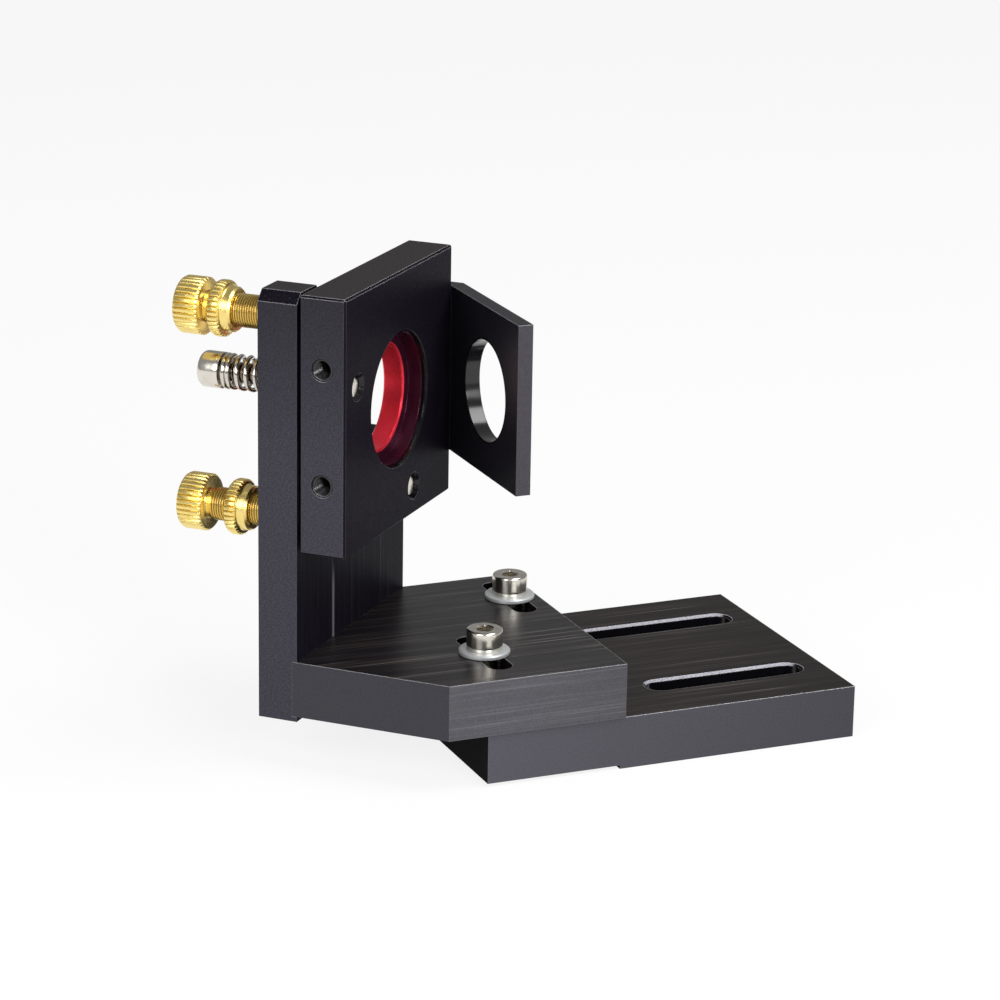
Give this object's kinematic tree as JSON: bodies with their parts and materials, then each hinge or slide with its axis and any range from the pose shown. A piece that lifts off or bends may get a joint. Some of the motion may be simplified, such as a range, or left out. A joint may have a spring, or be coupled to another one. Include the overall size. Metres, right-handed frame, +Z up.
{
  "type": "kinematic mirror mount",
  "caption": "Kinematic mount that holds a small round mirror at 45 degrees to its slotted plate, with knurled brass adjusters, sprung screws and a round aperture in front of the mirror.",
  "frame": {"origin": "centre of the lower plate's length and width, on its underside", "axes": "+X along the lower plate, away from the upright; +Z up; the mirror's normal points to +X and -Y at 45 degrees"},
  "size_m": [0.1265, 0.0753, 0.0933],
  "materials": {
    "bead_blasted_black": "aluminium, bead-blasted and black anodised, matte dark grey",
    "satin_black": "aluminium, black anodised, satin",
    "red_anodised": "turned aluminium, red anodised, glossy",
    "brass": "turned and knurled brass, bright",
    "ball_steel": "polished bearing steel",
    "hardened_steel": "ground hardened steel",
    "stainless": "stainless steel, turned",
    "spring_wire": "drawn spring wire",
    "black_oxide": "black oxide steel"
  },
  "bodies": {
    "lower": {"lower_plate": "bead_blasted_black", "near_clamp_screw": "stainless", "far_clamp_screw": "stainless", "near_clamp_washer": "stainless", "far_clamp_washer": "stainless"},
    "base": {"base_plate": "bead_blasted_black", "upright_plate": "bead_blasted_black", "near_upright_screw": "black_oxide", "far_upright_screw": "black_oxide", "side_spring": "spring_wire", "bottom_spring": "spring_wire"},
    "top_carrier": {"top_lock_nut": "brass"},
    "corner_carrier": {"corner_lock_nut": "brass", "corner_ball": "ball_steel"},
    "far_carrier": {"far_lock_nut": "brass"},
    "top_adjuster": {"top_adjuster": "brass"},
    "corner_adjuster": {"corner_adjuster": "brass"},
    "far_adjuster": {"far_adjuster": "brass"},
    "top_ball": {"top_ball": "ball_steel"},
    "far_ball": {"far_ball": "ball_steel"},
    "mirror": {"mirror_plate": "satin_black", "mirror_cell": "red_anodised", "aperture_bracket": "satin_black", "flat_seat": "hardened_steel", "cone_seat": "hardened_steel", "groove_seat": "hardened_steel", "side_spring_screw": "stainless", "bottom_spring_screw": "stainless", "upper_bracket_screw": "stainless", "lower_bracket_screw": "stainless"}
  },
  "joints": [
    {"name": "base_slide", "type": "slide", "parent": "lower", "child": "base", "axis": [0, 1, 0], "range_m": [-0.0075, 0.0075]},
    {"name": "top_advance", "type": "slide", "parent": "base", "child": "top_carrier", "axis": [0.7071, -0.7071, 0], "range_m": [-0.0001, 0.0012]},
    {"name": "corner_advance", "type": "slide", "parent": "base", "child": "corner_carrier", "axis": [0.7071, -0.7071, 0], "range_m": [-0.0001, 0.0012]},
    {"name": "far_advance", "type": "slide", "parent": "base", "child": "far_carrier", "axis": [0.7071, -0.7071, 0], "range_m": [-0.0001, 0.0012]},
    {"name": "top_turn", "type": "hinge", "parent": "top_carrier", "child": "top_adjuster", "pos_m": [-0.06543, -0.00416, 0.08755], "axis": [0.7071, -0.7071, 0], "range_deg": [-72.5, 864.5]},
    {"name": "corner_turn", "type": "hinge", "parent": "corner_carrier", "child": "corner_adjuster", "pos_m": [-0.06515, -0.00444, 0.04905], "axis": [0.7071, -0.7071, 0], "range_deg": [-72.5, 864.5]},
    {"name": "far_turn", "type": "hinge", "parent": "far_carrier", "child": "far_adjuster", "pos_m": [-0.03793, 0.02278, 0.04905], "axis": [0.7071, -0.7071, 0], "range_deg": [-72.5, 864.5]},
    {"name": "mirror_tilt", "type": "hinge", "parent": "base", "child": "top_ball", "pos_m": [-0.06515, -0.00444, 0.04905], "axis": [0.7071, 0.7071, 0], "range_deg": [-0.16, 1.8], "deforming": ["side_spring"]},
    {"name": "mirror_pan", "type": "hinge", "parent": "top_ball", "child": "far_ball", "pos_m": [-0.06543, -0.00416, 0.08755], "axis": [0.0073, -0.0073, -0.9999], "range_deg": [-0.16, 1.8], "deforming": ["bottom_spring"]},
    {"name": "mirror_diagonal", "type": "hinge", "parent": "far_ball", "child": "mirror", "pos_m": [-0.03793, 0.02278, 0.04905], "axis": [-0.5052, -0.4948, 0.7071], "range_deg": [-0.22, 2.54]}
  ],
  "couplings": [
    {"joint": "top_turn", "follows": "top_advance", "rad_per_m": 12566},
    {"joint": "corner_turn", "follows": "corner_advance", "rad_per_m": 12566},
    {"joint": "far_turn", "follows": "far_advance", "rad_per_m": 12566},
    {"joint": "mirror_tilt", "follows": "top_advance", "rad_per_m": 25.974},
    {"joint": "mirror_pan", "follows": "far_advance", "rad_per_m": 25.975},
    {"joint": "mirror_diagonal", "follows": "corner_advance", "rad_per_m": 36.734}
  ]
}
